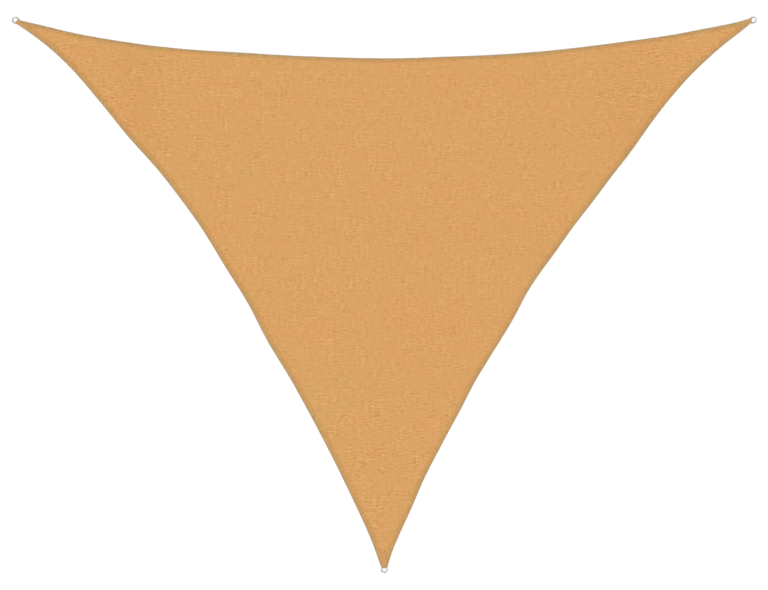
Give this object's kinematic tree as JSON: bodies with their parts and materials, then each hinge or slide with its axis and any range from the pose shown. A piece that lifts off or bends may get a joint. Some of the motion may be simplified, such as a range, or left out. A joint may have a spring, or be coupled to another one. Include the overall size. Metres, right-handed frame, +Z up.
{
  "type": "shade sail",
  "caption": "Triangular knitted shade sail with curved hemmed edges and a steel D-ring held in a webbing tab at each corner, laid out flat.",
  "frame": {"origin": "on the ground under the sail, midway between the outermost points of the three rings", "axes": "+X along the long edge, +Y from the point towards the long edge, +Z up out of the cloth's upper face"},
  "size_m": [5.0428, 3.7665, 0.01],
  "materials": {
    "sail_cloth": "sand-coloured knitted shade cloth, matt",
    "webbing": "sand-coloured woven webbing",
    "ring_steel": "polished stainless wire"
  },
  "bodies": {
    "root": {"sail_cloth": "sail_cloth", "tab_left": "webbing", "tab_right": "webbing", "tab_point": "webbing", "ring_left": "ring_steel", "ring_right": "ring_steel", "ring_point": "ring_steel"}
  },
  "joints": []
}
